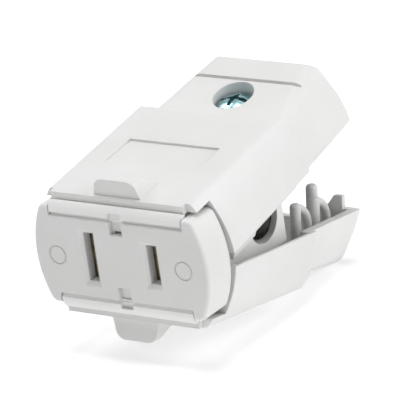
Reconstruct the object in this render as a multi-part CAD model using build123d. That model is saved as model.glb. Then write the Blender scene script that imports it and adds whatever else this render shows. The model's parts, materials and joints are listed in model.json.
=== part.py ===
from build123d import *
import os
from math import atan2, cos, degrees, radians, sin, sqrt, tan

# Hinged cord connector with two polarized blade slots. Millimetres.
# X runs right along the mating face, Y from the mating face towards the cord end, Z up.
# The origin is the middle of the mating face. Both covers are drawn closed and then
# turned open about the two film hinges of their straps, to the opening named below.

# Mating face
BLADE_SPACING = 12.7
NEUTRAL_SLOT_LENGTH = 8.7
HOT_SLOT_LENGTH = 6.9
SLOT_WIDTH = 2.0
SLOT_LEAD_IN = 0.7
FACE_WALL = 2.4
FACE_DEPTH = 6.6
FACE_INSET = 0.05
FACE_CORNER_RADIUS = 1.5
FACE_EDGE_RADIUS = 0.7
NOTCH_WIDTH = 2.5
NOTCH_DEPTH = 1.0
NOTCH_END = 4.7
NOTCH_SLIT_WIDTH = 1.8
NOTCH_SLIT_HEIGHT = 0.45
MARK_RADIUS = 1.75
MARK_WIDTH = 0.3
MARK_DEPTH = 0.15
MARK_OFFSET = 12.8

# Closed body
BODY_FRONT_HALF_WIDTH = 17.6
BODY_REAR_HALF_WIDTH = 16.2
BODY_FLAT_HALF_WIDTH = 14.2
BODY_HALF_HEIGHT = 10.8
BODY_LENGTH = 33.3
BODY_END_LEAN = 2.0
OVERALL_LENGTH = 51.4
NECK_FRONT_HALF_WIDTH = 15.7
NECK_REAR_HALF_WIDTH = 14.4
NECK_FRONT_FLAT_HALF_WIDTH = 13.0
NECK_REAR_FLAT_HALF_WIDTH = 9.9
NECK_FRONT_HALF_HEIGHT = 9.0
NECK_REAR_HALF_HEIGHT = 11.5
NECK_BOW = 1.3
NECK_END_LEAN = 2.5
NECK_PLAN_RADIUS = 1.0
NECK_END_RADIUS = 2.5
WALL = 1.6
FLAT_EDGE_RADIUS = 1.0
NECK_END_EDGE_RADIUS = 4.0
SHOULDER_RADIUS = 1.6
PARTING = -0.8
PARTING_GAP = 0.3
FACE_GAP = 0.2
SLAB_GAP = 0.3
SLAB_FRONT = 2.8

# Twin film hinges and the strap between them
STRAP_LENGTH = 26.8
STRAP_END_GAP = 0.2
GROOVE_HEIGHT = 7.35
GROOVE_DEPTH = 0.9
GROOVE_PITCH = 2.92
STRAP_LEAN = 27.7
STRAP_BULGE = 0.2
FILM_RADIUS = 0.22
FILM_CLEARANCE = 0.06
STRAP_CLEARANCE = 0.25
STRAP_NOTCH_HEIGHT = 8.55
STRAP_NOTCH_FLOOR = 0.4
FULL_OPENING = 90.0
GROOVE_MARGIN = 6.0
TOP_OPENING = 9.0
BOTTOM_OPENING = 9.6

# Finger tabs
TAB_BASE_WIDTH = 9.5
TAB_TIP_WIDTH = 7.6
TOP_TAB_HEIGHT = 3.1
BOTTOM_TAB_HEIGHT = 3.9
TAB_SETBACK = 2.3
TAB_LENGTH = 5.7
TAB_TIP_LENGTH = 0.9
TAB_CORNER_RADIUS = 1.9

# Top of the top cover
LABEL_WIDTH = 18.4
LABEL_LENGTH = 8.6
LABEL_REAR = 20.0
LABEL_DEPTH = 0.4
CROSS_GROOVE_PLACE = 42.8
CROSS_GROOVE_WIDTH = 0.75
CROSS_GROOVE_DEPTH = 0.6

# Cover screw, its seat and its bosses
SCREW_PLACE = 38.4
SCREW_RADIUS = 1.75
SCREW_TIP = -6.0
SCREW_HEAD_RADIUS = 3.2
SCREW_HEAD_HEIGHT = 2.0
SCREW_HEAD_ROUND = 0.6
SEAT_RADIUS = 3.7
SEAT_FLOOR = 7.3
SEAT_WALL = 1.3
SCREW_CLEARANCE = 0.2
DRIVE_WIDTH = 1.0
DRIVE_LENGTH = 4.0
DRIVE_DEPTH = 1.0
BOSS_RADIUS = 4.3
BOSS_TOP = -3.6
BOSS_MOUTH_RADIUS = 3.1
BOSS_BORE_CLEARANCE = 0.35

# Cord grip posts, rear lugs, cord entry, and the tongue and lip on the rim
GRIP_RADIUS = 0.95
GRIP_LEG_RADIUS = 0.75
GRIP_OFFSET = 9.6
GRIP_START = 36.6
GRIP_PITCH = 5.9
GRIP_COUNT = 2
GRIP_SPREAD = 3.7
GRIP_TOP = 2.5
GRIP_STRUT_DROP = 0.2
PIN_RADIUS = 1.05
PIN_OFFSET = 7.6
PIN_PLACE = 44.9
PIN_TOP = 4.0
POST_DOME_SHARE = 0.75
LUG_INNER = 8.1
LUG_OUTER = 11.4
LUG_TOP = 1.4
LUG_THICKNESS = 1.0
LUG_CLEARANCE = 0.3
CORD_WIDTH = 8.4
CORD_HEIGHT = 5.4
CORD_CORNER_RADIUS = 2.5
TONGUE_START = 8.6
TONGUE_END = 16.2
TONGUE_DROP = 2.4
LIP_END = 30.6
LIP_DROP = 1.5
LAP_INSET = 0.9
LAP_SLOPE = 0.46
LAP_THICKNESS = 1.6
LAP_CLEARANCE = 0.3
LAP_RUN_OUT = 0.7

# Contact carrier behind the mating face
CARRIER_HALF_WIDTH = 13.5
CARRIER_HALF_HEIGHT = 7.0
CARRIER_END = 28.7
CARRIER_WALL = 2.2
CARRIER_CORNER_RADIUS = 1.2
CHAMBER_HALF_HEIGHT = 5.6
CHAMBER_INNER = 4.2

# Contacts and terminal screws
STRIP = 0.8
BLADE_GAP = 1.5
CONTACT_SETBACK = 0.6
CONTACT_END = 14.0
CONTACT_TOP = 3.0
CONTACT_BLADE_ROOM = 0.2
TERMINAL_PLACE = 22.8
TERMINAL_HALF_LENGTH = 4.5
TERMINAL_HALF_HEIGHT = 3.0
TERMINAL_RADIUS = 1.7
TERMINAL_HOLE_CLEARANCE = 0.05
TERMINAL_HEAD_RADIUS = 3.6
TERMINAL_HEAD_HEIGHT = 1.9
TERMINAL_REACH = 4.2
TERMINAL_RECESS_RADIUS = 4.2
TERMINAL_SLOT_WIDTH = 1.0
TERMINAL_SLOT_DEPTH = 0.9

INNER_HALF_HEIGHT = BODY_HALF_HEIGHT - WALL
FACE_HALF_HEIGHT = INNER_HALF_HEIGHT - SLAB_GAP
COVER_FRONT = FACE_DEPTH + FACE_GAP
STRAP_HALF = STRAP_LENGTH / 2
# Longer than the whole body, for cuts that run right through
BEYOND = OVERALL_LENGTH + BODY_FRONT_HALF_WIDTH


def across(y):
    """The plane of a cross-section at depth y, drawn as it is seen from the front."""
    return Plane(origin=(0, y, 0), x_dir=(1, 0, 0), z_dir=(0, -1, 0))


def run(section, y0, y1):
    """A cross-section drawn out from depth y0 to depth y1."""
    return extrude(across(y0) * section, amount=y0 - y1)


def side_prism(corners, x0, x1):
    """A side view, as (y, z) corners, drawn out from x0 to x1."""
    profile = make_face(Polyline(*corners, close=True))
    return extrude(Plane.YZ.offset(x0) * profile, amount=x1 - x0)


def block(x0, x1, y0, y1, z0, z1):
    """A plain block between two corners."""
    return Pos((x0 + x1) / 2, (y0 + y1) / 2, (z0 + z1) / 2) * Box(x1 - x0, y1 - y0, z1 - z0)


def rod(axis_point, direction, radius, length):
    """A round rod that starts at a point and runs along a direction."""
    return extrude(Plane(origin=axis_point, z_dir=direction) * Circle(radius), amount=length)


def barrel(half_width, flat_half_width, half_height):
    """A cross-section with a flat top and bottom and round bulging sides."""
    right = ThreePointArc((flat_half_width, -half_height), (half_width, 0), (flat_half_width, half_height))
    left = ThreePointArc((-flat_half_width, half_height), (-half_width, 0), (-flat_half_width, -half_height))
    top = Line((flat_half_width, half_height), (-flat_half_width, half_height))
    bottom = Line((-flat_half_width, -half_height), (flat_half_width, -half_height))
    return make_face([right, top, left, bottom])


def barrel_arc(half_width, flat_half_width, half_height):
    """The radius of a barrel section's round side, and where its centre lies."""
    sagitta = half_width - flat_half_width
    radius = (half_height ** 2 + sagitta ** 2) / (2 * sagitta)
    return radius, half_width - radius


def inset_barrel(half_width, flat_half_width, half_height, inset):
    """The same cross-section drawn in by an even inset all round."""
    radius, centre = barrel_arc(half_width, flat_half_width, half_height)
    rise = half_height - inset
    return barrel(half_width - inset, centre + sqrt((radius - inset) ** 2 - rise ** 2), rise)


def between(y, y0, y1, first, last):
    """A size that changes evenly from one depth to another."""
    return first + (last - first) * (y - y0) / (y1 - y0)


def body_half_width(y):
    """Half the width of the main body, which narrows towards the shoulder."""
    return between(y, COVER_FRONT, BODY_LENGTH, BODY_FRONT_HALF_WIDTH, BODY_REAR_HALF_WIDTH)


def neck_half_height(y):
    """Half the height of the neck, which flares from the shoulder to its end."""
    return between(y, BODY_LENGTH, OVERALL_LENGTH, NECK_FRONT_HALF_HEIGHT, NECK_REAR_HALF_HEIGHT)


def body_section(y, inset):
    """The main body's cross-section at depth y, drawn in by an inset."""
    return inset_barrel(body_half_width(y), BODY_FLAT_HALF_WIDTH, BODY_HALF_HEIGHT, inset)


def neck_half_width(y):
    """Half the width of the neck at depth y."""
    return between(y, BODY_LENGTH, OVERALL_LENGTH, NECK_FRONT_HALF_WIDTH, NECK_REAR_HALF_WIDTH)


def neck_section(y, inset):
    """The neck's six-sided cross-section at depth y, widest at mid height, drawn in by an inset."""
    flat = between(y, BODY_LENGTH, OVERALL_LENGTH, NECK_FRONT_FLAT_HALF_WIDTH, NECK_REAR_FLAT_HALF_WIDTH)
    rise = neck_half_height(y)
    right = [(flat, -rise), (neck_half_width(y), 0), (flat, rise)]
    left = [(-x, -z) for x, z in right]
    return offset(make_face(Polyline(*right, *left, close=True)), -inset)


def taper(section, y0, y1, inset, radius0, radius1):
    """A body lofted from one depth to another, with the edges of its flats rounded."""
    ends = []
    for y, radius in ((y0, radius0), (y1, radius1)):
        face = section(y, inset)
        ends.append(across(y) * fillet(face.vertices(), radius))
    return loft(ends)


def polar(origin, angle, distance):
    """The point of the side view at an angle and a distance from another."""
    return (origin[0] + distance * cos(radians(angle)), origin[1] + distance * sin(radians(angle)))


# Side view of the closed hinge: the two film axes lie at the bottom of the two grooves.
STRAP_ANGLE = 90.0 - STRAP_LEAN
FACE_GROOVE = (0.0, GROOVE_HEIGHT)
COVER_GROOVE = polar(FACE_GROOVE, STRAP_ANGLE, GROOVE_PITCH)
FACE_GROOVE_OUT = 180.0 - STRAP_LEAN / 2
COVER_GROOVE_OUT = 90.0 + STRAP_ANGLE / 2
FACE_FILM = polar(FACE_GROOVE, FACE_GROOVE_OUT + 180.0, GROOVE_DEPTH)
COVER_FILM = polar(COVER_GROOVE, COVER_GROOVE_OUT + 180.0, GROOVE_DEPTH)
GROOVE_HALF_ANGLE = (FULL_OPENING / 2 + GROOVE_MARGIN) / 2
GROOVE_SIDE = GROOVE_DEPTH / cos(radians(GROOVE_HALF_ANGLE))
FILM_LINE = degrees(atan2(COVER_FILM[1] - FACE_FILM[1], COVER_FILM[0] - FACE_FILM[0]))


def film_rod(film, radius, half_length, side):
    """A round bead on one film axis, right across the strap."""
    return rod((-half_length, film[0], side * film[1]), (1, 0, 0), radius, 2 * half_length)


def upright(corners, side):
    """Side-view corners as drawn for the top, or turned over for the bottom."""
    return [(y, side * z) for y, z in corners]


def film_turn(side):
    """How far each film of a strap is bent open: half of its cover's opening."""
    return TOP_OPENING / 2 if side > 0 else -BOTTOM_OPENING / 2


def turn_strap(part, side):
    """A strap, or what it carries, turned about the film at the mating face."""
    return part.rotate(Axis((0, FACE_FILM[0], side * FACE_FILM[1]), (1, 0, 0)), film_turn(side))


def open_cover(part, side):
    """A closed cover's piece turned open about both films of its strap."""
    about_strap = Axis((0, COVER_FILM[0], side * COVER_FILM[1]), (1, 0, 0))
    return turn_strap(part.rotate(about_strap, film_turn(side)), side)


def strap_notch(side):
    """The notch in the middle of a strap, which leaves a thin floor over the films."""
    root = polar(FACE_FILM, FILM_LINE + 90.0, STRAP_NOTCH_FLOOR)
    start = polar(root, FILM_LINE + 180.0, STRAP_LENGTH)
    end = (root[0] + (STRAP_NOTCH_HEIGHT - root[1]) / tan(radians(FILM_LINE)), STRAP_NOTCH_HEIGHT)
    corners = [start, end, (-STRAP_LENGTH, end[1]), (-STRAP_LENGTH, start[1])]
    return side_prism(upright(corners, side), -NOTCH_WIDTH / 2, NOTCH_WIDTH / 2)


def hinge_strap(side):
    """The convex strap between the two film hinges, with a bead on each film."""
    low = polar(FACE_FILM, FACE_GROOVE_OUT - GROOVE_HALF_ANGLE, GROOVE_SIDE)
    high = polar(COVER_FILM, COVER_GROOVE_OUT + GROOVE_HALF_ANGLE, GROOVE_SIDE)
    middle = ((low[0] + high[0]) / 2, (low[1] + high[1]) / 2)
    crown = polar(middle, STRAP_ANGLE + 90.0, STRAP_BULGE)
    low_inner = polar(FACE_FILM, FILM_LINE - 90.0, FILM_RADIUS)
    high_inner = polar(COVER_FILM, FILM_LINE - 90.0, FILM_RADIUS)
    corners = upright([low, crown, high, COVER_FILM, high_inner, low_inner, FACE_FILM], side)
    profile = make_face([ThreePointArc(*corners[:3]), Polyline(*corners[2:], corners[0])])
    strap = extrude(Plane.YZ.offset(-STRAP_HALF) * profile, amount=STRAP_LENGTH)
    for film in (FACE_FILM, COVER_FILM):
        strap += film_rod(film, FILM_RADIUS, STRAP_HALF, side)
    return turn_strap(strap - strap_notch(side), side)


def strap_room(side):
    """The space that a strap needs in front of and above the mating face's block."""
    lip = polar(FACE_FILM, FACE_GROOVE_OUT + GROOVE_HALF_ANGLE, BEYOND)
    heel = polar(FACE_FILM, FILM_LINE - 90.0, FILM_RADIUS + STRAP_CLEARANCE)
    top = polar(heel, FILM_LINE, BEYOND)
    half = STRAP_HALF + STRAP_END_GAP
    room = side_prism(upright([FACE_FILM, heel, top, (lip[0], top[1]), lip], side), -half, half)
    return room + film_rod(FACE_FILM, FILM_RADIUS + FILM_CLEARANCE, half, side)


def blade_slot(x, length):
    """A blade slot through the mating face's wall, with a bevelled mouth."""
    slot = block(x - SLOT_WIDTH / 2, x + SLOT_WIDTH / 2, -BEYOND, FACE_WALL + CONTACT_SETBACK, -length / 2,
                 length / 2)
    mouth = across(0) * Pos(x, 0) * Rectangle(SLOT_WIDTH + 2 * SLOT_LEAD_IN, length + 2 * SLOT_LEAD_IN)
    throat = across(SLOT_LEAD_IN) * Pos(x, 0) * Rectangle(SLOT_WIDTH, length)
    return slot + loft([mouth, throat])


def carrier():
    """The block of contact chambers behind the mating face, open at the rear."""
    outline = RectangleRounded(2 * CARRIER_HALF_WIDTH, 2 * CARRIER_HALF_HEIGHT, CARRIER_CORNER_RADIUS)
    return run(outline, FACE_DEPTH - FACE_WALL, CARRIER_END)


def chamber(hand):
    """One contact chamber and the round recess of its terminal screw."""
    outer = hand * (CARRIER_HALF_WIDTH - CARRIER_WALL)
    x_ends = sorted((hand * CHAMBER_INNER, outer))
    room = block(*x_ends, FACE_WALL, BEYOND, -CHAMBER_HALF_HEIGHT, CHAMBER_HALF_HEIGHT)
    recess = rod((outer, TERMINAL_PLACE, 0), (hand, 0, 0), TERMINAL_RECESS_RADIUS, BEYOND)
    return room + recess


def face_notch(side):
    """The narrow notch in the middle of a hinge edge, with a slit at its end."""
    z_ends = sorted((side * NOTCH_END, side * BEYOND))
    slit_ends = sorted((side * NOTCH_END, side * (NOTCH_END + NOTCH_SLIT_HEIGHT)))
    notch = block(-NOTCH_WIDTH / 2, NOTCH_WIDTH / 2, -BEYOND, NOTCH_DEPTH, *z_ends)
    slit_half = NOTCH_SLIT_WIDTH / 2
    return notch + block(-slit_half, slit_half, 0, FACE_WALL, *slit_ends)


def mark_ring(hand):
    """A shallow plain ring sunk into the mating face."""
    ring = Circle(MARK_RADIUS) - Circle(MARK_RADIUS - MARK_WIDTH)
    return run(Pos(hand * MARK_OFFSET, 0) * ring, 0, MARK_DEPTH)


def face_block():
    """The mating face with its slots, and the contact carrier behind it."""
    outline = body_section(COVER_FRONT, FACE_INSET)
    outline &= Rectangle(BEYOND, 2 * FACE_HALF_HEIGHT)
    outline = fillet(outline.vertices(), FACE_CORNER_RADIUS)
    part = run(outline, 0, FACE_DEPTH)
    part = fillet(part.faces().sort_by(Axis.Y)[0].edges(), FACE_EDGE_RADIUS)
    part += carrier()
    part -= blade_slot(-BLADE_SPACING / 2, NEUTRAL_SLOT_LENGTH)
    part -= blade_slot(BLADE_SPACING / 2, HOT_SLOT_LENGTH)
    for end in (-1, 1):
        part -= chamber(end)
        part -= strap_room(end)
        part -= face_notch(end)
        part -= mark_ring(end)
    return part


def plan_view(sketch):
    """A plan view, drawn as (y, x), taken right through the body from top to bottom."""
    plane = Plane(origin=(0, 0, 0), x_dir=(0, 1, 0), z_dir=(0, 0, -1))
    return extrude(plane * sketch, amount=BEYOND, both=True)


def side_view(sketch):
    """A side view, drawn as (y, z), taken right through the body from side to side."""
    return extrude(Plane.YZ * sketch, amount=BEYOND, both=True)


def side_outline(length, half_height, lean, radius, inset):
    """A side view whose end leans in from the parting to rounded corners, drawn in by an inset."""
    corner = length - lean
    profile = make_face(Polyline((0, half_height), (corner, half_height), (length, PARTING),
                                 (corner, -half_height), (0, -half_height), close=True))
    corners = profile.vertices().sort_by(Axis.X)[-3:-1]
    return side_view(offset(fillet(corners, radius), -inset))


def neck_plan(inset):
    """The neck's plan view with a bowed end and rounded corners, drawn in by an inset."""
    corner = OVERALL_LENGTH - NECK_BOW
    half = neck_half_width(corner)
    front = neck_half_width(0) + WALL
    sides = Polyline((corner, half), (0, front), (0, -front), (corner, -half))
    bow = ThreePointArc((corner, -half), (OVERALL_LENGTH, 0), (corner, half))
    plan = make_face([sides, bow])
    plan = fillet(plan.vertices().sort_by(Axis.X)[-2:], NECK_PLAN_RADIUS)
    return plan_view(offset(plan, -inset))


def body_form(inset):
    """The wide front part of the closed body, rounded at the shoulder."""
    bar = taper(body_section, 0, BODY_LENGTH + WALL, inset, FLAT_EDGE_RADIUS, FLAT_EDGE_RADIUS)
    return side_outline(BODY_LENGTH, BODY_HALF_HEIGHT, BODY_END_LEAN, SHOULDER_RADIUS, inset) & bar


def neck_form(inset):
    """The flaring neck of the closed body, bowed and rounded at its end."""
    start = BODY_LENGTH - BODY_END_LEAN - SHOULDER_RADIUS
    bar = taper(neck_section, start, OVERALL_LENGTH + WALL, inset, FLAT_EDGE_RADIUS, NECK_END_EDGE_RADIUS)
    end = side_outline(OVERALL_LENGTH, NECK_REAR_HALF_HEIGHT, NECK_END_LEAN, NECK_END_RADIUS, inset)
    return bar & neck_plan(inset) & end


def closed_outside():
    """The outside of the two closed covers as one solid body with its neck."""
    return body_form(0) + neck_form(0)


def closed_inside():
    """The hollow of the two closed covers, open to the cord entry."""
    hollow = body_form(WALL) + neck_form(WALL)
    entry = Pos(0, PARTING) * RectangleRounded(CORD_WIDTH, CORD_HEIGHT, CORD_CORNER_RADIUS)
    return hollow + run(entry, OVERALL_LENGTH / 2, BEYOND)


def rim(side):
    """The height of one cover's rim."""
    return PARTING + side * PARTING_GAP / 2


def half_space(side, height):
    """Everything on one side of a level plane."""
    return block(-BEYOND, BEYOND, -BEYOND, BEYOND, *sorted((height, side * BEYOND)))


def finger_tab(side):
    """The wedge that a finger lifts: a trapezoid front with a ramp behind it."""
    foot = BODY_HALF_HEIGHT - WALL / 2
    height = TOP_TAB_HEIGHT if side > 0 else BOTTOM_TAB_HEIGHT
    tip = BODY_HALF_HEIGHT + height
    flare = (TAB_BASE_WIDTH - TAB_TIP_WIDTH) / 2 / height
    foot_half = TAB_BASE_WIDTH / 2 + flare * WALL / 2
    tip_half = TAB_TIP_WIDTH / 2
    front = make_face(Polyline((foot_half, side * foot), (tip_half, side * tip), (-tip_half, side * tip),
                               (-foot_half, side * foot), close=True))
    tip_corners = front.vertices().sort_by(Axis.Y)
    tip_corners = tip_corners[-2:] if side > 0 else tip_corners[:2]
    front = fillet(tip_corners, TAB_CORNER_RADIUS)
    tab = run(front, TAB_SETBACK, BEYOND)
    heel = TAB_SETBACK + TAB_LENGTH
    ramp = [(TAB_SETBACK, tip), (TAB_SETBACK + TAB_TIP_LENGTH, tip), (heel, BODY_HALF_HEIGHT), (heel, foot),
            (TAB_SETBACK, foot)]
    return tab & side_prism(upright(ramp, side), -BEYOND, BEYOND)


def cover_front_room(side):
    """What a cover leaves free at its front: the face's block, the strap and the strap's ends."""
    lip = polar(COVER_FILM, COVER_GROOVE_OUT - GROOVE_HALF_ANGLE, BEYOND)
    groove = [COVER_FILM, lip, (-BEYOND, lip[1]), (-BEYOND, 0), (COVER_FILM[0], 0)]
    under = INNER_HALF_HEIGHT
    room = side_prism(upright(groove, side), -BEYOND, BEYOND)
    room += block(-BEYOND, BEYOND, -BEYOND, COVER_FRONT, *sorted((-side * BEYOND, side * under)))
    seat_half = STRAP_HALF + STRAP_END_GAP
    room += film_rod(COVER_FILM, FILM_RADIUS + FILM_CLEARANCE, seat_half, side)
    for hand in (-1, 1):
        x_ends = sorted((hand * STRAP_HALF, hand * BEYOND))
        room += block(*x_ends, -BEYOND, SLAB_FRONT, *sorted((0, side * BEYOND)))
    return room


def cover_shell(side):
    """One closed cover: outer skin, hollow, finger tab and cross groove."""
    part = (closed_outside() - closed_inside()) & half_space(side, rim(side))
    part -= cover_front_room(side)
    part += finger_tab(side)
    groove_floor = neck_half_height(CROSS_GROOVE_PLACE) - CROSS_GROOVE_DEPTH
    groove_ends = sorted((side * groove_floor, side * BEYOND))
    return part - block(-BEYOND, BEYOND, CROSS_GROOVE_PLACE - CROSS_GROOVE_WIDTH / 2,
                        CROSS_GROOVE_PLACE + CROSS_GROOVE_WIDTH / 2, *groove_ends)


def lap_section(y, hand, drop, clearance):
    """The tapered section, at depth y, of what laps inside the bottom cover's wall."""
    outer = body_half_width(y) - LAP_INSET + clearance
    inner = outer - LAP_THICKNESS - 2 * clearance
    low = PARTING - drop - clearance
    root = PARTING + WALL
    corners = [(outer, root), (outer, PARTING), (outer - LAP_SLOPE * drop, low), (inner, low), (inner, root)]
    return across(y) * make_face(Polyline(*[(hand * x, z) for x, z in corners], close=True))


def rim_lap(hand, drop, end, clearance):
    """What laps inside the bottom cover's wall, from the front of the tongue to its end."""
    ends = (TONGUE_START - clearance, end + clearance)
    return loft([lap_section(y, hand, drop, clearance) for y in ends])


def rear_lug(hand, clearance):
    """A sloping locating lug on the bottom cover's rear wall, or the notch that takes it."""
    inner = LUG_INNER - clearance
    outer = LUG_OUTER + clearance
    top = LUG_TOP + clearance
    low = PARTING - WALL
    middle = (inner + outer) / 2
    corners = [(inner, low), (outer, low), (outer, top), (middle, top), (inner, PARTING + clearance)]
    section = make_face(Polyline(*[(hand * x, z) for x, z in corners], close=True))
    front = OVERALL_LENGTH - NECK_BOW - WALL
    return run(section, front - clearance, front + LUG_THICKNESS + clearance)


def neck_floor(y):
    """The middle of the bottom cover's wall under the neck, where posts take root."""
    return WALL / 2 - neck_half_height(y)


def post(x, y, radius, top):
    """A round post with a domed top, standing on the neck's floor."""
    part = rod((x, y, neck_floor(y)), (0, 0, 1), radius, top - neck_floor(y))
    return fillet(part.edges().group_by(Axis.Z)[-1], POST_DOME_SHARE * radius)


def cord_grip(x, y):
    """A hooked cord grip: an upright post, and a leg behind it that bends over to meet its top."""
    bend = GRIP_TOP - GRIP_STRUT_DROP - GRIP_LEG_RADIUS - GRIP_SPREAD
    leg_place = y + GRIP_SPREAD
    foot = neck_floor(leg_place)
    leg = rod((x, leg_place, foot), (0, 0, 1), GRIP_LEG_RADIUS, bend - foot)
    section = Plane(origin=(x, leg_place, bend), z_dir=(0, 0, 1)) * Circle(GRIP_LEG_RADIUS)
    hook = revolve(section, Axis((x, y, bend), (1, 0, 0)), 90)
    return post(x, y, GRIP_RADIUS, GRIP_TOP) + leg + hook


def cord_grips():
    """The hooked grips in a row along each side of the neck, and one tall pin beside each row."""
    grips = []
    for hand in (-1, 1):
        grips += [cord_grip(hand * GRIP_OFFSET, GRIP_START + GRIP_PITCH * i) for i in range(GRIP_COUNT)]
        grips.append(post(hand * PIN_OFFSET, PIN_PLACE, PIN_RADIUS, PIN_TOP))
    return grips


def top_cover():
    """The top cover with its label recess, screw seat, rim tongues, rim lips and lug notches."""
    part = cover_shell(1)
    label = [(LABEL_REAR - LABEL_LENGTH, BODY_HALF_HEIGHT), (LABEL_REAR, BODY_HALF_HEIGHT - LABEL_DEPTH),
             (LABEL_REAR, BODY_HALF_HEIGHT + WALL), (LABEL_REAR - LABEL_LENGTH, BODY_HALF_HEIGHT + WALL)]
    part -= side_prism(label, -LABEL_WIDTH / 2, LABEL_WIDTH / 2)
    seat_bottom = SEAT_FLOOR - SEAT_WALL
    seat = rod((0, SCREW_PLACE, seat_bottom), (0, 0, 1), SEAT_RADIUS + SEAT_WALL, BEYOND)
    part += seat & neck_form(WALL / 2)
    sleeve_radius = SCREW_RADIUS + SCREW_CLEARANCE + SEAT_WALL
    part += rod((0, SCREW_PLACE, seat_bottom), (0, 0, -1), sleeve_radius, seat_bottom - rim(1))
    part -= rod((0, SCREW_PLACE, SEAT_FLOOR), (0, 0, 1), SEAT_RADIUS, BEYOND)
    part -= rod((0, SCREW_PLACE, BEYOND), (0, 0, -1), SCREW_RADIUS + SCREW_CLEARANCE, 2 * BEYOND)
    for hand in (-1, 1):
        part += rim_lap(hand, TONGUE_DROP, TONGUE_END, 0)
        part += rim_lap(hand, LIP_DROP, LIP_END, 0)
        part -= rear_lug(hand, LUG_CLEARANCE)
    return open_cover(part, 1)


def bottom_cover():
    """The bottom cover with its screw boss, cord grip posts, rear lugs and rim bevels."""
    part = cover_shell(-1)
    floor = neck_floor(SCREW_PLACE)
    bore_radius = SCREW_RADIUS + BOSS_BORE_CLEARANCE
    part += rod((0, SCREW_PLACE, floor), (0, 0, 1), BOSS_RADIUS, BOSS_TOP - floor)
    bore_floor = WALL - neck_half_height(SCREW_PLACE)
    part -= rod((0, SCREW_PLACE, bore_floor), (0, 0, 1), bore_radius, BEYOND)
    mouth = Plane(origin=(0, SCREW_PLACE, BOSS_TOP), z_dir=(0, 0, 1)) * Circle(BOSS_MOUTH_RADIUS)
    throat = Plane(origin=(0, SCREW_PLACE, SCREW_TIP), z_dir=(0, 0, 1)) * Circle(bore_radius)
    part -= loft([throat, mouth])
    for grip in cord_grips():
        part += grip
    for hand in (-1, 1):
        part += rear_lug(hand, 0)
        part -= rim_lap(hand, TONGUE_DROP, LIP_END + LAP_RUN_OUT, LAP_CLEARANCE)
    return open_cover(part, -1)


def contact(hand):
    """A folded brass contact: a U that wipes both sides of the blade, and a tab for its screw."""
    blade_x = BLADE_SPACING / 2
    inner = blade_x - BLADE_GAP / 2 - STRIP
    outer = blade_x + BLADE_GAP / 2 + STRIP
    web = -NEUTRAL_SLOT_LENGTH / 2 - CONTACT_BLADE_ROOM
    channel = block(inner, outer, FACE_WALL + CONTACT_SETBACK, CONTACT_END, web - STRIP, CONTACT_TOP)
    channel -= block(inner + STRIP, outer - STRIP, -BEYOND, BEYOND, web, BEYOND)
    tab_x = CARRIER_HALF_WIDTH - CARRIER_WALL
    tab_front = TERMINAL_PLACE - TERMINAL_HALF_LENGTH
    tab_end = TERMINAL_PLACE + TERMINAL_HALF_LENGTH
    strip = make_face(Polyline((outer - STRIP, CONTACT_END - STRIP), (outer, CONTACT_END - STRIP),
                               (outer, CONTACT_END), (tab_x, tab_front), (tab_x, tab_end),
                               (tab_x - STRIP, tab_end), (tab_x - STRIP, tab_front + STRIP / 2),
                               (outer - STRIP, CONTACT_END + STRIP / 2), close=True))
    lead = Plane.XY.offset(-TERMINAL_HALF_HEIGHT) * strip
    part = channel + extrude(lead, amount=2 * TERMINAL_HALF_HEIGHT)
    part -= rod((0, TERMINAL_PLACE, 0), (1, 0, 0), TERMINAL_RADIUS + TERMINAL_HOLE_CLEARANCE, BEYOND)
    return part if hand > 0 else part.mirror(Plane.YZ)


def terminal_screw(hand):
    """A slotted terminal screw, seated on its contact's tab inside the round recess."""
    seat = CARRIER_HALF_WIDTH - CARRIER_WALL
    part = rod((seat, TERMINAL_PLACE, 0), (1, 0, 0), TERMINAL_HEAD_RADIUS, TERMINAL_HEAD_HEIGHT)
    part = fillet(part.edges().group_by(Axis.X)[-1], TERMINAL_HEAD_HEIGHT / 4)
    part += rod((seat, TERMINAL_PLACE, 0), (-1, 0, 0), TERMINAL_RADIUS, TERMINAL_REACH)
    slot_half = TERMINAL_SLOT_WIDTH / 2
    slot_floor = seat + TERMINAL_HEAD_HEIGHT - TERMINAL_SLOT_DEPTH
    part -= block(slot_floor, BEYOND, -BEYOND, BEYOND, -slot_half, slot_half)
    return part if hand > 0 else part.mirror(Plane.YZ)


def cover_screw():
    """The pan-head screw that draws the covers together, with a slotted cross drive."""
    part = rod((0, SCREW_PLACE, SEAT_FLOOR), (0, 0, 1), SCREW_HEAD_RADIUS, SCREW_HEAD_HEIGHT)
    part = fillet(part.edges().group_by(Axis.Z)[-1], SCREW_HEAD_ROUND)
    part += rod((0, SCREW_PLACE, SEAT_FLOOR), (0, 0, -1), SCREW_RADIUS, SEAT_FLOOR - SCREW_TIP)
    half = DRIVE_WIDTH / 2
    floor = SEAT_FLOOR + SCREW_HEAD_HEIGHT - DRIVE_DEPTH
    part -= block(-BEYOND, BEYOND, SCREW_PLACE - half, SCREW_PLACE + half, floor, BEYOND)
    reach = DRIVE_LENGTH / 2
    part -= block(-half, half, SCREW_PLACE - reach, SCREW_PLACE + reach, floor, BEYOND)
    return open_cover(part, 1)


def write(node, part):
    """Writes one piece under its own name."""
    export_step(part, f"parts/{node}.step")


os.makedirs("parts", exist_ok=True)
write("face_block", face_block())
write("top_hinge_strap", hinge_strap(1))
write("bottom_hinge_strap", hinge_strap(-1))
write("top_cover", top_cover())
write("bottom_cover", bottom_cover())
write("neutral_contact", contact(-1))
write("hot_contact", contact(1))
write("neutral_terminal_screw", terminal_screw(-1))
write("hot_terminal_screw", terminal_screw(1))
write("cover_screw", cover_screw())
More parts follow.
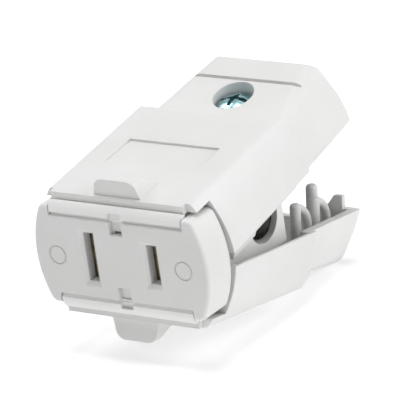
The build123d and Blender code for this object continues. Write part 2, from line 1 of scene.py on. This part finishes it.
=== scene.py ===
import json
import bpy
import numpy as np
from mathutils import Matrix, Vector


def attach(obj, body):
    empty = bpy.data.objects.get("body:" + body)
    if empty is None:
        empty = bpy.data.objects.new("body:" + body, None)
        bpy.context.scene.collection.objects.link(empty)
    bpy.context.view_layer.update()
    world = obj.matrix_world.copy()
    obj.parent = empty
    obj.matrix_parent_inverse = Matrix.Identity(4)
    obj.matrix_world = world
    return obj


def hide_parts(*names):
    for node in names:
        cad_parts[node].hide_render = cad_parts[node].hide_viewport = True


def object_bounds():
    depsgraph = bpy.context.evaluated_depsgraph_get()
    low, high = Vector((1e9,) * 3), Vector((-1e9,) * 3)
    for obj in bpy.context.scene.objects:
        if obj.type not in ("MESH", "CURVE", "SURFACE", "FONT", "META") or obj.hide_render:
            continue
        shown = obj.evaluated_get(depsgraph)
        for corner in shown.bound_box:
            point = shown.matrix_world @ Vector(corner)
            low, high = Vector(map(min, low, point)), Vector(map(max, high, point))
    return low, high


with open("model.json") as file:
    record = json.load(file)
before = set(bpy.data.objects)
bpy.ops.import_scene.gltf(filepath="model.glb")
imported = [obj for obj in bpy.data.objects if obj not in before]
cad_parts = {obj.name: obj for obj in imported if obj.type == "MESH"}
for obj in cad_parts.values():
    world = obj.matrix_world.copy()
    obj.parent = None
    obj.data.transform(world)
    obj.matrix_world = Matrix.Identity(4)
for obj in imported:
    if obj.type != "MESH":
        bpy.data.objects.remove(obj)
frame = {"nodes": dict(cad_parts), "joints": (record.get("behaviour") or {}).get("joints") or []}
cad_low, cad_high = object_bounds()

MM = 0.001
JOINTS = {joint["name"]: joint for joint in frame["joints"]}

# Screws: sizes of their heads, shanks and drive recesses, and the points that their heads sit on
COVER_SCREW = {"head_radius": 3.2 * MM, "head_height": 2.0 * MM, "crown": 0.7 * MM,
               "shank_radius": 1.75 * MM, "length": 13.3 * MM, "columns": 192}
COVER_SCREW_DRIVE = {"slot_width": 0.9 * MM, "slot_depth": 0.75 * MM,
                     "wing_length": 2.1 * MM, "cross_depth": 1.3 * MM}
COVER_SCREW_SEAT = (0.0, 38.4 * MM, 7.3 * MM)
TERMINAL_SCREW = {"head_radius": 3.6 * MM, "head_height": 1.9 * MM, "crown": 0.25 * MM,
                  "shank_radius": 1.7 * MM, "length": 4.2 * MM, "columns": 144}
TERMINAL_SCREW_DRIVE = {"slot_width": 1.0 * MM, "slot_depth": 0.9 * MM}
TERMINAL_SEAT_OFFSET = 11.3 * MM
TERMINAL_SEAT_PLACE = 22.8 * MM
HEAD_RIM_SHARE = 0.24
HEAD_TOP_RINGS = 64
HEAD_RIM_RINGS = 9
HEAD_UNDERSIDE_RINGS = 6
SHARP_EDGE_ANGLE = np.radians(38.0)

# Drive recess: the slope of its walls, and shares of the slot's width and of the cross's depth
DRIVE_WALL_SLOPE = 0.1 * MM
WING_TIP_SHARE = 0.34
WING_ROOT_GAIN = 0.3
CROSS_TIP_SHARE = 0.42
WING_END_SLOPE = 0.07

# Thread: its depth, its run-in below the head and its tip, in pitches, and room for rounding errors
THREAD_PITCH = 0.79 * MM
THREAD_RINGS_PER_TURN = 11
THREAD_DEPTH = 0.52
THREAD_ROOT_CUT = 1.15
THREAD_RUN_IN = (0.6, 1.6)
TIP_LENGTH = 1.2
TIP_TAPER_SHARE = 0.18
ROUNDING_ROOM = 0.001 * MM

# Plastic: its tone where it is scuffed, the painted shade in its hollows and deep between pieces, the
# painted highlight along its polished edges, how its roughness changes there, and how its stipple and
# its slow waves share in the bumps
PLASTIC_SCUFF = (0.70, 0.69, 0.66, 1.0)
PLASTIC_PAINTED_HOLLOW_SHADE = (0.60, 0.59, 0.55, 1.0)
PLASTIC_PAINTED_DEEP_SHADE = (0.34, 0.33, 0.26, 1.0)
PLASTIC_PAINTED_EDGE_HIGHLIGHT = (0.95, 0.95, 0.95, 1.0)
PLASTIC_EDGE_POLISH = 0.10
PLASTIC_SCUFF_ROUGHNESS = 0.15
STIPPLE_HEIGHT = 0.8
WAVE_HEIGHT = 0.6

# Metal: the painted shade in its hollows, how far its roughness strays, and what specks add to it
METAL_PAINTED_HOLLOW_SHADE = (0.05, 0.05, 0.05, 1.0)
METAL_ROUGHNESS_SPAN = 0.06
METAL_SPECK_ROUGHNESS = 0.1

# Studio: a round floor, square lamps at one distance from the object, and a long lens
WHITE = (1.0, 1.0, 1.0, 1.0)
FLOOR_COLOUR = (0.82, 0.82, 0.82, 1.0)
FLOOR_GLOW_UNSEEN = 0.2
FLOOR_GLOW_SEEN = 0.46
FLOOR_RADIUS = 3.0
FLOOR_RINGS = 24
FLOOR_SECTORS = 64
LAMP_AIM = (0.0, 0.02, 0.0)
LAMP_DISTANCE = 0.75
LAMP_SIZE = 0.4
SENSOR_WIDTH_MM = 36.0
LENS_MM = 349.07
CAMERA_CLIP_START = 0.05
CAMERA_RIGHT = (0.819857, 0.556327, -0.135406)
CAMERA_UP = (-0.097523, 0.368715, 0.924413)
CAMERA_BACK = (0.564202, -0.744681, 0.356548)
CAMERA_PLACE = (0.37056, -0.464995, 0.235729)


def about_x(angle, pivot):
    """A turn about an axis along X through a pivot, as a 3x3 turn and a shift."""
    c, s = np.cos(angle), np.sin(angle)
    turn = np.array([[1.0, 0.0, 0.0], [0.0, c, -s], [0.0, s, c]])
    pivot = np.asarray(pivot)
    return turn, pivot - turn @ pivot


def opened(points):
    """Points of the shut top cover, turned open about the strap's two films.

    Each film at rest is bent by the least angle of its joint, so the shut cover is turned by that
    angle about the film at the face, and again about the film at the cover.
    """
    for name in ("top_strap_hinge", "top_cover_hinge"):
        joint = JOINTS[name]
        turn, shift = about_x(np.radians(-joint["range_deg"][0]), joint["pos_m"])
        points = points @ turn.T + shift
    return points


def smooth_step(value, low, high):
    """0 below low, 1 above high, and an even S-curve between them."""
    t = np.clip((value - low) / (high - low), 0.0, 1.0)
    return t * t * (3.0 - 2.0 * t)


def link_object(name, data):
    """A new object in the scene that shows a mesh, lamp or camera."""
    item = bpy.data.objects.new(name, data)
    bpy.context.scene.collection.objects.link(item)
    return item


def ring_quads(index):
    """Quads between neighbouring rows of a grid of point numbers whose columns run right round."""
    after = np.roll(index, -1, axis=1)
    return np.stack([index[:-1], index[1:], after[1:], after[:-1]], axis=-1).reshape(-1, 4).tolist()


def pole_fan(pole, ring):
    """Triangles from one point to each edge of a ring of point numbers."""
    return np.stack([np.full(len(ring), pole), ring, np.roll(ring, -1)], axis=-1).tolist()


def round_mesh(name, grid):
    """A closed mesh from a grid of points whose columns run right round and whose end rows are poles.

    The first and last rows shrink to one point each, the rows between them are joined by quads, and
    each pole is closed by a fan of triangles.
    """
    rows, columns = grid.shape[:2]
    body = grid[1:-1].reshape(-1, 3)
    points = np.vstack([body, grid[:1, 0], grid[-1:, 0]])
    index = np.arange(len(body)).reshape(rows - 2, columns)
    start_fan = pole_fan(len(body), index[0])
    end_fan = pole_fan(len(body) + 1, index[-1][::-1])
    mesh = bpy.data.meshes.new(name)
    mesh.from_pydata(points.tolist(), [], ring_quads(index) + start_fan + end_fan)
    mesh.polygons.foreach_set("use_smooth", np.ones(len(mesh.polygons), dtype=bool))
    mesh.set_sharp_from_angle(angle=SHARP_EDGE_ANGLE)
    mesh.update()
    return link_object(name, mesh)


def drive_depth(x, y, slot_width, slot_depth, wing_length=0.0, cross_depth=0.0):
    """How far the drive recess goes in at a place on a screw's head.

    A slot runs right across the head. Over it may lie a cross whose four wings narrow outwards and
    deepen towards the middle. The deeper of the two counts.
    """
    slope = DRIVE_WALL_SLOPE
    off_slot = smooth_step(np.abs(y), slot_width / 2 - slope / 2, slot_width / 2 + slope / 2)
    slot = slot_depth * (1.0 - off_slot)
    if cross_depth == 0.0:
        return slot
    reach = np.maximum(np.abs(x), np.abs(y))
    wing = np.minimum(np.abs(x), np.abs(y))
    inward = np.clip(1.0 - reach / wing_length, 0.0, 1.0)
    half_wing = slot_width * (WING_TIP_SHARE + WING_ROOT_GAIN * inward)
    floor = cross_depth * (CROSS_TIP_SHARE + (1.0 - CROSS_TIP_SHARE) * inward)
    across = 1.0 - smooth_step(wing, half_wing - slope, half_wing)
    return np.maximum(slot, floor * across * smooth_step(inward, 0.0, WING_END_SLOPE))


def screw_grid(drive, head_radius, head_height, crown, shank_radius, length, columns):
    """A machine screw about +Z with its seat at the origin, as rows of rings.

    The rings follow a profile from the middle of the head, out over its crowned top and rounded rim,
    under the head and down the shank to a bevelled tip. The top is lowered by the drive recess, and
    the shank's radius by a thread: a ridge that climbs one pitch in each turn.
    """
    angle = np.linspace(0.0, 2 * np.pi, columns, endpoint=False)
    rim = HEAD_RIM_SHARE * head_height
    top_r = np.linspace(0.0, head_radius - rim, HEAD_TOP_RINGS)
    top_z = head_height - crown * (top_r / top_r[-1]) ** 2
    bend = np.linspace(0.0, np.pi / 2, HEAD_RIM_RINGS)[1:]
    rim_r = head_radius - rim + rim * np.sin(bend)
    rim_z = head_height - crown - rim + rim * np.cos(bend)
    under_r = np.linspace(head_radius, shank_radius, HEAD_UNDERSIDE_RINGS)
    turns = round(length / THREAD_PITCH)
    shank_z = np.linspace(0.0, -length, THREAD_RINGS_PER_TURN * turns)[1:]
    profile_r = np.concatenate([top_r, rim_r, under_r, np.full(len(shank_z), shank_radius)])
    profile_z = np.concatenate([top_z, rim_z, np.zeros(len(under_r)), shank_z])
    radius = np.repeat(profile_r[:, None], columns, axis=1)
    height = np.repeat(profile_z[:, None], columns, axis=1)

    top = slice(0, HEAD_TOP_RINGS + 1)
    x, y = radius[top] * np.cos(angle), radius[top] * np.sin(angle)
    height[top] -= drive_depth(x, y, **drive)

    climb = np.mod(-height / THREAD_PITCH + angle / (2 * np.pi), 1.0)
    groove = np.clip(THREAD_ROOT_CUT * (1.0 - np.abs(2.0 * climb - 1.0)), 0.0, 1.0)
    run_in_start, run_in_end = THREAD_RUN_IN
    run_in = smooth_step(-height, run_in_start * THREAD_PITCH, run_in_end * THREAD_PITCH)
    on_shank = radius <= shank_radius + ROUNDING_ROOM
    tip = smooth_step(-height, length - TIP_LENGTH * THREAD_PITCH, length)
    radius = radius - run_in * on_shank * THREAD_DEPTH * THREAD_PITCH * groove
    radius = radius - tip * TIP_TAPER_SHARE * shank_radius

    rings = np.stack([radius * np.cos(angle), radius * np.sin(angle), height], axis=-1)
    end_pole = np.broadcast_to([0.0, 0.0, -length], (1, columns, 3))
    return np.concatenate([rings, end_pole])


def make_cover_screw():
    """The zinc-plated screw that draws the covers together, standing in its seat in the top cover."""
    grid = screw_grid(COVER_SCREW_DRIVE, **COVER_SCREW) + np.array(COVER_SCREW_SEAT)
    return round_mesh("threaded_cover_screw", opened(grid))


def make_terminal_screw(name, hand):
    """A slotted binding screw in its recess, its axis along X and its head towards the side wall."""
    grid = screw_grid(TERMINAL_SCREW_DRIVE, **TERMINAL_SCREW)
    seat = np.array([hand * TERMINAL_SEAT_OFFSET, TERMINAL_SEAT_PLACE, 0.0])
    along_x = np.array([[0.0, 0.0, hand], [hand, 0.0, 0.0], [0.0, 1.0, 0.0]])
    return round_mesh(name, grid @ along_x.T + seat)


class Sheet:
    """A node tree with short ways to add nodes and join them."""

    def __init__(self, tree):
        self.tree = tree
        self.tree.nodes.clear()

    def add(self, kind, settings=None, inputs=None):
        """A node with its settings made and its inputs fed."""
        node = self.tree.nodes.new(kind)
        for name, value in (settings or {}).items():
            setattr(node, name, value)
        for name, value in (inputs or {}).items():
            self.feed(node.inputs[name], value)
        return node

    def feed(self, socket, value):
        """Joins an input to another node's output, or sets it to a value."""
        if isinstance(value, bpy.types.NodeSocket):
            self.tree.links.new(value, socket)
        else:
            socket.default_value = value

    def math(self, operation, first, second):
        """One sum on two numbers."""
        return self.add("ShaderNodeMath", {"operation": operation}, {0: first, 1: second}).outputs[0]

    def inverse(self, value):
        """One minus a value."""
        return self.math("SUBTRACT", 1.0, value)

    def ramp(self, value, low, high, out_low=0.0, out_high=1.0):
        """An S-curve from one number to another while a value goes from low to high."""
        node = self.add("ShaderNodeMapRange", {"interpolation_type": "SMOOTHSTEP"},
                        {"Value": value, "From Min": low, "From Max": high,
                         "To Min": out_low, "To Max": out_high})
        return node.outputs["Result"]

    def mix(self, factor, first, second):
        """A colour between two others."""
        node = self.add("ShaderNodeMix", {"data_type": "RGBA"}, {0: factor, 6: first, 7: second})
        return node.outputs[2]

    def tint(self, tone, mask, strength, colour):
        """A tone drawn towards a colour where a mask is set."""
        return self.mix(self.math("MULTIPLY", mask, strength), tone, colour)

    def noise(self, where, scale, detail, roughness):
        """Smooth noise from 0 to 1, its scale counted per metre."""
        node = self.add("ShaderNodeTexNoise", {}, {"Vector": where, "Scale": scale,
                                                   "Detail": detail, "Roughness": roughness})
        return node.outputs["Fac"]

    def place(self):
        """The place on the piece, in metres of the shared frame."""
        return self.add("ShaderNodeTexCoord").outputs["Object"]

    def stretched(self, where, scale, rotation=(0.0, 0.0, 0.0)):
        """A place turned and scaled, so that noise on it is drawn out along one way."""
        node = self.add("ShaderNodeMapping", {}, {"Vector": where, "Rotation": rotation, "Scale": scale})
        return node.outputs["Vector"]

    def rounded_normal(self, radius):
        """The surface's direction, softened across its edges."""
        return self.add("ShaderNodeBevel", {"samples": 6}, {"Radius": radius}).outputs[0]

    def openness(self, reach, samples, only_local):
        """How much of the surround is free within a reach, from 0 to 1."""
        node = self.add("ShaderNodeAmbientOcclusion", {"samples": samples, "only_local": only_local},
                        {"Distance": reach})
        return node.outputs["AO"]

    def seen_path(self):
        """1 for what the camera sees, straight or in a mirror or glass, and 0 for other light."""
        path = self.add("ShaderNodeLightPath").outputs
        mirrored = self.math("MAXIMUM", path["Is Glossy Ray"], path["Is Transmission Ray"])
        return self.math("MAXIMUM", path["Is Camera Ray"], mirrored)

    def place_group(self, group, values):
        """The outputs of one use of a shared node group, with its own values."""
        return self.add("ShaderNodeGroup", {"node_tree": group}, values).outputs


def new_group(name, inputs, outputs):
    """An empty shader node group whose inputs and outputs are numbers."""
    group = bpy.data.node_groups.new(name, "ShaderNodeTree")
    for in_out, titles in (("INPUT", inputs), ("OUTPUT", outputs)):
        for title in titles:
            group.interface.new_socket(title, in_out=in_out, socket_type="NodeSocketFloat")
    sheet = Sheet(group)
    given = sheet.add("NodeGroupInput").outputs
    out = sheet.add("NodeGroupOutput").inputs
    return group, sheet, given, out


def make_mould_grain():
    """Fine spark-eroded stipple of a mould, slow drift of its polish, and light handling scuffs."""
    group, sheet, given, out = new_group("mould_grain", ["Stipple Scale", "Scuffs"],
                                         ["Height", "Drift", "Scuff"])
    place = sheet.place()
    stipple = sheet.noise(place, scale=given["Stipple Scale"], detail=2.0, roughness=0.55)
    drift = sheet.noise(place, scale=85.0, detail=3.0, roughness=0.5)
    waves = sheet.noise(place, scale=420.0, detail=2.0, roughness=0.45)
    along_hairs = sheet.stretched(place, scale=(1.0, 0.09, 1.0), rotation=(0.3, 0.2, 0.9))
    hairs = sheet.noise(along_hairs, scale=1900.0, detail=2.0, roughness=0.6)
    patches = sheet.noise(place, scale=130.0, detail=1.0, roughness=0.5)
    scuff = sheet.math("MULTIPLY", sheet.ramp(hairs, low=0.66, high=0.74),
                       sheet.ramp(patches, low=0.5, high=0.68))
    height = sheet.math("ADD", sheet.math("MULTIPLY", stipple, STIPPLE_HEIGHT),
                        sheet.math("MULTIPLY", waves, WAVE_HEIGHT))
    sheet.feed(out["Height"], height)
    sheet.feed(out["Drift"], drift)
    sheet.feed(out["Scuff"], sheet.math("MULTIPLY", scuff, given["Scuffs"]))
    return group


def make_edge_wear_highlight_and_shade():
    """Masks for a painted highlight along edges, which on metal is also wear, and for painted shade in
    small hollows and deep between neighbouring pieces.

    An edge is where a softened normal parts from the true one, broken up by noise. Hollows and depths
    are where little of the open surround is in sight, within a short reach and within a long one.
    """
    group, sheet, given, out = new_group("edge_wear_highlight_and_shade", ["Radius", "Break Up"],
                                         ["Edge", "Hollow Shade", "Depth"])
    true_normal = sheet.add("ShaderNodeNewGeometry").outputs["True Normal"]
    dot = sheet.add("ShaderNodeVectorMath", {"operation": "DOT_PRODUCT"},
                    {0: sheet.rounded_normal(given["Radius"]), 1: true_normal})
    bend = sheet.ramp(sheet.inverse(dot.outputs["Value"]), low=0.02, high=0.22)
    spots = sheet.noise(sheet.place(), scale=700.0, detail=3.0, roughness=0.6)
    spots = sheet.ramp(spots, low=0.35, high=0.65)
    kept = sheet.inverse(sheet.math("MULTIPLY", spots, given["Break Up"]))
    near_open = sheet.openness(1.2 * MM, samples=6, only_local=True)
    near_open = sheet.ramp(near_open, low=0.35, high=0.9)
    far_open = sheet.openness(9.0 * MM, samples=8, only_local=False)
    far_open = sheet.ramp(far_open, low=0.02, high=0.18)
    sheet.feed(out["Edge"], sheet.math("MULTIPLY", sheet.math("MULTIPLY", bend, kept), near_open))
    sheet.feed(out["Hollow Shade"], sheet.inverse(near_open))
    sheet.feed(out["Depth"], sheet.inverse(far_open))
    return group


def make_tool_marks():
    """Fine rings left by turning or rolling, and mottled plating, for small metal pieces."""
    group, sheet, given, out = new_group("tool_marks", ["Mark Scale"], ["Height", "Mottle", "Speck"])
    place = sheet.place()
    along_marks = sheet.stretched(place, scale=(1.0, 0.12, 0.5))
    marks = sheet.noise(along_marks, scale=given["Mark Scale"], detail=2.0, roughness=0.5)
    mottle = sheet.noise(place, scale=650.0, detail=3.0, roughness=0.55)
    specks = sheet.noise(place, scale=2100.0, detail=1.0, roughness=0.4)
    sheet.feed(out["Height"], marks)
    sheet.feed(out["Mottle"], mottle)
    sheet.feed(out["Speck"], sheet.ramp(specks, low=0.62, high=0.75))
    return group


def new_material(name):
    """A node material with an empty sheet, and its Principled shader joined to the output."""
    material = bpy.data.materials.new(name)
    material.use_nodes = True
    sheet = Sheet(material.node_tree)
    shader = sheet.add("ShaderNodeBsdfPrincipled")
    sheet.add("ShaderNodeOutputMaterial", {}, {"Surface": shader.outputs["BSDF"]})
    return material, sheet, shader.inputs


def moulded_plastic(name, colour, shade, deep_shade, stipple_scale):
    """Satin moulded plastic: stippled, drifting in tone, greyed by painted shade in hollows and deep
    between pieces, with a painted highlight along its polished edges.
    """
    material, sheet, shader = new_material(name)
    mould = sheet.place_group(MOULD_GRAIN, {"Stipple Scale": stipple_scale, "Scuffs": 0.45})
    edge = sheet.place_group(EDGE_WEAR_HIGHLIGHT_AND_SHADE, {"Radius": 0.3 * MM, "Break Up": 0.5})
    tone = sheet.mix(sheet.ramp(mould["Drift"], low=0.3, high=0.7), colour, shade)
    tone = sheet.tint(tone, mould["Scuff"], strength=0.3, colour=PLASTIC_SCUFF)
    # Painted shade: greyer in small hollows, and darker and olive deep between neighbouring pieces
    tone = sheet.tint(tone, edge["Hollow Shade"], strength=0.16, colour=PLASTIC_PAINTED_HOLLOW_SHADE)
    tone = sheet.tint(tone, edge["Depth"], strength=deep_shade, colour=PLASTIC_PAINTED_DEEP_SHADE)
    # Painted highlight: paler along the edges
    tone = sheet.tint(tone, edge["Edge"], strength=0.7, colour=PLASTIC_PAINTED_EDGE_HIGHLIGHT)
    sheet.feed(shader["Base Color"], tone)
    rough = sheet.ramp(mould["Drift"], low=0.25, high=0.75, out_low=0.40, out_high=0.50)
    rough = sheet.math("SUBTRACT", rough, sheet.math("MULTIPLY", edge["Edge"], PLASTIC_EDGE_POLISH))
    rough = sheet.math("ADD", rough, sheet.math("MULTIPLY", mould["Scuff"], PLASTIC_SCUFF_ROUGHNESS))
    sheet.feed(shader["Roughness"], rough)
    bump = sheet.add("ShaderNodeBump", {}, {"Strength": 0.35, "Distance": 0.02 * MM,
                                            "Height": mould["Height"],
                                            "Normal": sheet.rounded_normal(0.22 * MM)})
    sheet.feed(shader["Normal"], bump.outputs["Normal"])
    shader["Specular IOR Level"].default_value = 0.45
    return material


def plated_metal(name, colour, tint, wear_and_highlight, roughness, mark_scale):
    """Plated or rolled metal: mottled between two tints, marked by tools, darkened by painted shade in
    its hollows, and bright at its edges from wear and a painted highlight.
    """
    material, sheet, shader = new_material(name)
    tool = sheet.place_group(TOOL_MARKS, {"Mark Scale": mark_scale})
    edge = sheet.place_group(EDGE_WEAR_HIGHLIGHT_AND_SHADE, {"Radius": 0.25 * MM, "Break Up": 0.6})
    tone = sheet.mix(sheet.ramp(tool["Mottle"], low=0.35, high=0.65), colour, tint)
    tone = sheet.tint(tone, tool["Speck"], strength=0.3, colour=wear_and_highlight)
    # Painted shade: near black in hollows
    tone = sheet.tint(tone, edge["Hollow Shade"], strength=0.25, colour=METAL_PAINTED_HOLLOW_SHADE)
    # Wear and a painted highlight: brighter along the edges
    tone = sheet.tint(tone, edge["Edge"], strength=0.7, colour=wear_and_highlight)
    sheet.feed(shader["Base Color"], tone)
    rough = sheet.ramp(tool["Mottle"], low=0.3, high=0.7, out_low=roughness - METAL_ROUGHNESS_SPAN,
                       out_high=roughness + METAL_ROUGHNESS_SPAN)
    rough = sheet.math("ADD", rough, sheet.math("MULTIPLY", tool["Speck"], METAL_SPECK_ROUGHNESS))
    sheet.feed(shader["Roughness"], rough)
    bump = sheet.add("ShaderNodeBump", {}, {"Strength": 0.3, "Distance": 0.01 * MM,
                                            "Height": tool["Height"]})
    sheet.feed(shader["Normal"], bump.outputs["Normal"])
    shader["Metallic"].default_value = 1.0
    return material


def dress(piece, material):
    """Puts one material on the whole of a piece."""
    piece.data.materials.clear()
    piece.data.materials.append(material)


def make_floor(height):
    """A pale floor: a flat sheet of even rings round a point under the object."""
    angle = np.linspace(0.0, 2 * np.pi, FLOOR_SECTORS, endpoint=False)
    radius = np.linspace(0.0, FLOOR_RADIUS, FLOOR_RINGS + 1)[1:, None]
    x, y = radius * np.cos(angle), radius * np.sin(angle)
    rings = np.stack([x, y, np.full_like(x, height)], axis=-1).reshape(-1, 3)
    points = np.vstack([rings, [[0.0, 0.0, height]]])
    index = np.arange(len(rings)).reshape(FLOOR_RINGS, FLOOR_SECTORS)
    mesh = bpy.data.meshes.new("studio_floor")
    mesh.from_pydata(points.tolist(), [], ring_quads(index) + pole_fan(len(rings), index[0]))
    mesh.update()
    floor = link_object("studio_floor", mesh)

    material = bpy.data.materials.new("pale_floor")
    material.use_nodes = True
    sheet = Sheet(material.node_tree)
    matt = sheet.add("ShaderNodeBsdfDiffuse", {}, {"Color": FLOOR_COLOUR})
    strength = sheet.ramp(sheet.seen_path(), low=0.0, high=1.0, out_low=FLOOR_GLOW_UNSEEN,
                          out_high=FLOOR_GLOW_SEEN)
    glow = sheet.add("ShaderNodeEmission", {}, {"Color": WHITE, "Strength": strength})
    both = sheet.add("ShaderNodeAddShader", {}, {0: matt.outputs[0], 1: glow.outputs[0]})
    sheet.add("ShaderNodeOutputMaterial", {}, {"Surface": both.outputs[0]})
    dress(floor, material)
    floor.visible_shadow = False


def make_surround():
    """Plain white to the camera and in reflections, and dark to all else: only the lamps give light."""
    world = bpy.data.worlds.new("studio_surround")
    bpy.context.scene.world = world
    world.use_nodes = True
    sheet = Sheet(world.node_tree)
    ground = sheet.add("ShaderNodeBackground", {}, {"Color": WHITE, "Strength": sheet.seen_path()})
    sheet.add("ShaderNodeOutputWorld", {}, {"Surface": ground.outputs[0]})


def stand(right, up, back, place):
    """The matrix of a lamp or camera at a place, from the ways its right, top and back face."""
    rows = [list(row) for row in zip(right, up, back, place)]
    return Matrix(rows + [[0.0, 0.0, 0.0, 1.0]])


def make_softbox(name, azimuth, rise, power):
    """A square lamp at one distance from the object, turned towards it.

    The azimuth goes round from +X towards +Y, and the rise goes up from the floor, both in degrees.
    """
    turn, lift = np.radians(azimuth), np.radians(rise)
    back = np.array([np.cos(turn) * np.cos(lift), np.sin(turn) * np.cos(lift), np.sin(lift)])
    right = np.array([-np.sin(turn), np.cos(turn), 0.0])
    lamp = bpy.data.lights.new(name, "AREA")
    lamp.shape = "SQUARE"
    lamp.size = LAMP_SIZE
    lamp.energy = power
    light = link_object(name, lamp)
    light.matrix_world = stand(right, np.cross(back, right), back, LAMP_AIM + LAMP_DISTANCE * back)


def make_camera():
    """A long lens at the photograph's viewing angle."""
    camera = link_object("camera", bpy.data.cameras.new("camera"))
    camera.data.sensor_width = SENSOR_WIDTH_MM
    camera.data.lens = LENS_MM
    camera.data.clip_start = CAMERA_CLIP_START
    camera.matrix_world = stand(CAMERA_RIGHT, CAMERA_UP, CAMERA_BACK, CAMERA_PLACE)
    bpy.context.scene.camera = camera


MOULD_GRAIN = make_mould_grain()
EDGE_WEAR_HIGHLIGHT_AND_SHADE = make_edge_wear_highlight_and_shade()
TOOL_MARKS = make_tool_marks()

# The straps are paler than the rest: partly the whitening of plastic that a film hinge strains, and
# partly painted light that lifts them out of the shade they sit in, without painted deep shade
white_plastic = moulded_plastic(
    "white_moulded_plastic", colour=(0.83, 0.83, 0.825, 1.0), shade=(0.80, 0.80, 0.79, 1.0),
    deep_shade=0.65, stipple_scale=3600.0)
strained_plastic_with_painted_light = moulded_plastic(
    "strained_white_plastic_with_painted_light", colour=(0.95, 0.95, 0.945, 1.0), shade=(0.92, 0.92, 0.91, 1.0),
    deep_shade=0.0, stipple_scale=2400.0)
# Dark teal zinc: partly the tint of its plating, partly a painted dark reflection
zinc = plated_metal(
    "zinc_plate_with_painted_dark_reflection", colour=(0.13, 0.27, 0.29, 1.0), tint=(0.30, 0.45, 0.47, 1.0),
    wear_and_highlight=(0.88, 0.94, 0.94, 1.0), roughness=0.2, mark_scale=2600.0)
brass = plated_metal(
    "spring_brass", colour=(0.52, 0.46, 0.31, 1.0), tint=(0.62, 0.56, 0.40, 1.0),
    wear_and_highlight=(0.74, 0.66, 0.46, 1.0), roughness=0.5, mark_scale=1800.0)
# Brass painted near black: painted shade standing for the shadow in the terminal's deep recess
brass_painted_in_shade = plated_metal(
    "brass_in_painted_shade", colour=(0.006, 0.006, 0.005, 1.0), tint=(0.016, 0.015, 0.013, 1.0),
    wear_and_highlight=(0.13, 0.125, 0.11, 1.0), roughness=0.3, mark_scale=2600.0)
nickel = plated_metal(
    "nickel_plate", colour=(0.60, 0.59, 0.56, 1.0), tint=(0.68, 0.67, 0.64, 1.0),
    wear_and_highlight=(0.85, 0.84, 0.82, 1.0), roughness=0.28, mark_scale=2600.0)

for node in ("face_block", "top_cover", "bottom_cover"):
    dress(frame["nodes"][node], white_plastic)
for node in ("top_hinge_strap", "bottom_hinge_strap"):
    dress(frame["nodes"][node], strained_plastic_with_painted_light)
for node in ("neutral_contact", "hot_contact"):
    dress(frame["nodes"][node], brass)

screws = (
    (make_cover_screw(), "cover_screw", "top_lid", "screw_zinc", zinc),
    (make_terminal_screw("threaded_hot_terminal_screw", 1.0), "hot_terminal_screw", "face",
     "terminal_dark_brass", brass_painted_in_shade),
    (make_terminal_screw("threaded_neutral_terminal_screw", -1.0), "neutral_terminal_screw", "face",
     "terminal_nickel", nickel),
)
for piece, node, body, slot, metal in screws:
    dress(piece, metal)
    dress(frame["nodes"][node], metal)
    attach(piece, body)
    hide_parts(node)

make_floor(cad_low[2])
make_surround()
make_softbox("right_softbox", azimuth=30.0, rise=25.0, power=2.4)
make_softbox("low_right_softbox", azimuth=-15.0, rise=8.0, power=0.9)
make_softbox("front_softbox", azimuth=-90.0, rise=25.0, power=0.96)
make_softbox("top_softbox", azimuth=0.0, rise=88.0, power=2.62)
make_softbox("left_softbox", azimuth=180.0, rise=50.0, power=2.05)
make_camera()
bpy.context.scene.view_settings.view_transform = "Standard"
